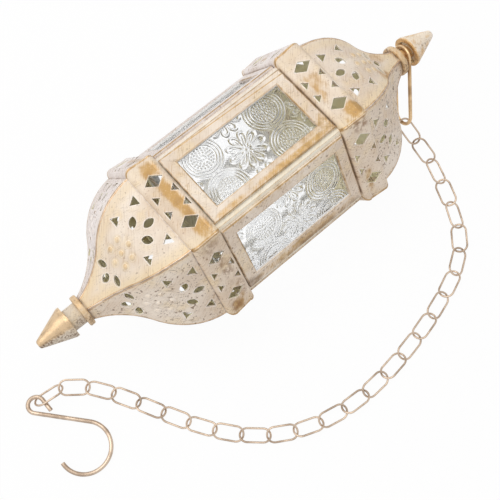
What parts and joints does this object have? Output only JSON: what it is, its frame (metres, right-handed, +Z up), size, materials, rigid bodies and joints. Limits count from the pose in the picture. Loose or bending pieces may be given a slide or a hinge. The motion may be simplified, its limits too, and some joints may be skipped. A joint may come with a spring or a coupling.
{
  "type": "hanging lantern",
  "caption": "Six-sided candle lantern of pierced painted metal and patterned glass, lying on its side, with a hinged door, a hanging ring, a chain and an S-hook.",
  "frame": {"origin": "on the floor, under the middle of the lantern as it lies on one side", "axes": "+X along the lantern towards its hanging end, +Z up, through the door"},
  "size_m": [0.2892, 0.1697, 0.0859],
  "materials": {
    "painted": "distressed ivory paint over gold",
    "gilt": "worn gold paint",
    "tray": "satin",
    "wire": "satin champagne gold",
    "glass": "clear pressed pattern"
  },
  "bodies": {
    "lantern": {"body_shell": "painted", "bottom_band": "painted", "bottom_collar": "gilt", "bottom_dome_panel_1": "painted", "bottom_dome_panel_2": "painted", "bottom_dome_panel_3": "painted", "bottom_dome_panel_4": "painted", "bottom_dome_panel_5": "painted", "bottom_dome_panel_6": "painted", "bottom_finial": "gilt", "candle_tray": "tray", "top_band": "painted", "top_collar": "gilt", "top_dome_panel_1": "painted", "top_dome_panel_2": "painted", "top_dome_panel_3": "painted", "top_dome_panel_4": "painted", "top_dome_panel_5": "painted", "top_dome_panel_6": "painted", "top_finial": "gilt", "window_frame_2": "painted", "window_frame_3": "painted", "window_frame_4": "painted", "window_frame_5": "painted", "window_frame_6": "painted", "window_pane_2": "glass", "window_pane_3": "glass", "window_pane_4": "glass", "window_pane_5": "glass", "window_pane_6": "glass"},
    "door": {"door_frame": "painted", "door_pane": "glass"},
    "ring": {"hanging_ring": "wire"},
    "link_01": {"chain_link_01": "wire"},
    "link_02": {"chain_link_02": "wire"},
    "link_03": {"chain_link_03": "wire"},
    "link_04": {"chain_link_04": "wire"},
    "link_05": {"chain_link_05": "wire"},
    "link_06": {"chain_link_06": "wire"},
    "link_07": {"chain_link_07": "wire"},
    "link_08": {"chain_link_08": "wire"},
    "link_09": {"chain_link_09": "wire"},
    "link_10": {"chain_link_10": "wire"},
    "link_11": {"chain_link_11": "wire"},
    "link_12": {"chain_link_12": "wire"},
    "link_13": {"chain_link_13": "wire"},
    "link_14": {"chain_link_14": "wire"},
    "link_15": {"chain_link_15": "wire"},
    "link_16": {"chain_link_16": "wire"},
    "link_17": {"chain_link_17": "wire"},
    "link_18": {"chain_link_18": "wire"},
    "link_19": {"chain_link_19": "wire"},
    "link_20": {"chain_link_20": "wire"},
    "link_21": {"chain_link_21": "wire"},
    "link_22": {"chain_link_22": "wire"},
    "link_23": {"chain_link_23": "wire"},
    "link_24": {"chain_link_24": "wire"},
    "link_25": {"chain_link_25": "wire"},
    "link_26": {"chain_link_26": "wire"},
    "hook": {"s_hook": "wire"}
  },
  "joints": [
    {"name": "door_hinge", "type": "hinge", "parent": "lantern", "child": "door", "pos_m": [0, -0.01965, 0.08215], "axis": [1, 0, 0], "range_deg": [0, 100]},
    {"name": "ring_turn", "type": "hinge", "parent": "lantern", "child": "ring", "pos_m": [0.1088, 0, 0.04295], "axis": [-1, 0, 0], "continuous": true},
    {"name": "link_01_swivel", "type": "hinge", "parent": "ring", "child": "link_01", "pos_m": [0.0965, -0.0214, 0.01295], "axis": [0, 0, 1], "range_deg": [-12, 12]},
    {"name": "link_02_swivel", "type": "hinge", "parent": "link_01", "child": "link_02", "pos_m": [0.0967, -0.03266, 0.00795], "axis": [0, 0, -1], "range_deg": [-12, 12]},
    {"name": "link_03_swivel", "type": "hinge", "parent": "link_02", "child": "link_03", "pos_m": [0.09692, -0.04519, 0.00238], "axis": [0, 0, 1], "range_deg": [-12, 12]},
    {"name": "link_04_swivel", "type": "hinge", "parent": "link_03", "child": "link_04", "pos_m": [0.09235, -0.05813, 0.00198], "axis": [0, 0, -1], "range_deg": [-12, 12]},
    {"name": "link_05_swivel", "type": "hinge", "parent": "link_04", "child": "link_05", "pos_m": [0.08709, -0.0708, 0.00198], "axis": [0, 0, 1], "range_deg": [-12, 12]},
    {"name": "link_06_swivel", "type": "hinge", "parent": "link_05", "child": "link_06", "pos_m": [0.08059, -0.08288, 0.00198], "axis": [0, 0, -1], "range_deg": [-12, 12]},
    {"name": "link_07_swivel", "type": "hinge", "parent": "link_06", "child": "link_07", "pos_m": [0.07166, -0.09329, 0.00198], "axis": [0, 0, 1], "range_deg": [-12, 12]},
    {"name": "link_08_swivel", "type": "hinge", "parent": "link_07", "child": "link_08", "pos_m": [0.05997, -0.10047, 0.00198], "axis": [0, 0, -1], "range_deg": [-12, 12]},
    {"name": "link_09_swivel", "type": "hinge", "parent": "link_08", "child": "link_09", "pos_m": [0.04712, -0.10528, 0.00198], "axis": [0, 0, 1], "range_deg": [-12, 12]},
    {"name": "link_10_swivel", "type": "hinge", "parent": "link_09", "child": "link_10", "pos_m": [0.03392, -0.10902, 0.00198], "axis": [0, 0, -1], "range_deg": [-12, 12]},
    {"name": "link_11_swivel", "type": "hinge", "parent": "link_10", "child": "link_11", "pos_m": [0.02051, -0.11194, 0.00198], "axis": [0, 0, 1], "range_deg": [-12, 12]},
    {"name": "link_12_swivel", "type": "hinge", "parent": "link_11", "child": "link_12", "pos_m": [0.00697, -0.11414, 0.00198], "axis": [0, 0, -1], "range_deg": [-12, 12]},
    {"name": "link_13_swivel", "type": "hinge", "parent": "link_12", "child": "link_13", "pos_m": [-0.00667, -0.11563, 0.00198], "axis": [0, 0, 1], "range_deg": [-12, 12]},
    {"name": "link_14_swivel", "type": "hinge", "parent": "link_13", "child": "link_14", "pos_m": [-0.02038, -0.11602, 0.00198], "axis": [0, 0, -1], "range_deg": [-12, 12]},
    {"name": "link_15_swivel", "type": "hinge", "parent": "link_14", "child": "link_15", "pos_m": [-0.03405, -0.11484, 0.00198], "axis": [0, 0, 1], "range_deg": [-12, 12]},
    {"name": "link_16_swivel", "type": "hinge", "parent": "link_15", "child": "link_16", "pos_m": [-0.04742, -0.11175, 0.00198], "axis": [0, 0, -1], "range_deg": [-12, 12]},
    {"name": "link_17_swivel", "type": "hinge", "parent": "link_16", "child": "link_17", "pos_m": [-0.06015, -0.10663, 0.00198], "axis": [0, 0, 1], "range_deg": [-12, 12]},
    {"name": "link_18_swivel", "type": "hinge", "parent": "link_17", "child": "link_18", "pos_m": [-0.07181, -0.09939, 0.00198], "axis": [0, 0, -1], "range_deg": [-12, 12]},
    {"name": "link_19_swivel", "type": "hinge", "parent": "link_18", "child": "link_19", "pos_m": [-0.08194, -0.09015, 0.00198], "axis": [0, 0, 1], "range_deg": [-12, 12]},
    {"name": "link_20_swivel", "type": "hinge", "parent": "link_19", "child": "link_20", "pos_m": [-0.09059, -0.0795, 0.00198], "axis": [0, 0, -1], "range_deg": [-12, 12]},
    {"name": "link_21_swivel", "type": "hinge", "parent": "link_20", "child": "link_21", "pos_m": [-0.09802, -0.06796, 0.00198], "axis": [0, 0, 1], "range_deg": [-12, 12]},
    {"name": "link_22_swivel", "type": "hinge", "parent": "link_21", "child": "link_22", "pos_m": [-0.10459, -0.05592, 0.00198], "axis": [0, 0, -1], "range_deg": [-12, 12]},
    {"name": "link_23_swivel", "type": "hinge", "parent": "link_22", "child": "link_23", "pos_m": [-0.11088, -0.04372, 0.00198], "axis": [0, 0, 1], "range_deg": [-12, 12]},
    {"name": "link_24_swivel", "type": "hinge", "parent": "link_23", "child": "link_24", "pos_m": [-0.11756, -0.03174, 0.00198], "axis": [0, 0, -1], "range_deg": [-12, 12]},
    {"name": "link_25_swivel", "type": "hinge", "parent": "link_24", "child": "link_25", "pos_m": [-0.12537, -0.02046, 0.00198], "axis": [0, 0, 1], "range_deg": [-12, 12]},
    {"name": "link_26_swivel", "type": "hinge", "parent": "link_25", "child": "link_26", "pos_m": [-0.13612, -0.01193, 0.00309], "axis": [0, 0, -1], "range_deg": [-12, 12]},
    {"name": "hook_swivel", "type": "hinge", "parent": "link_26", "child": "hook", "pos_m": [-0.14666, -0.01066, 0.00309], "axis": [0, 0, 1], "range_deg": [-20, 10]}
  ]
}
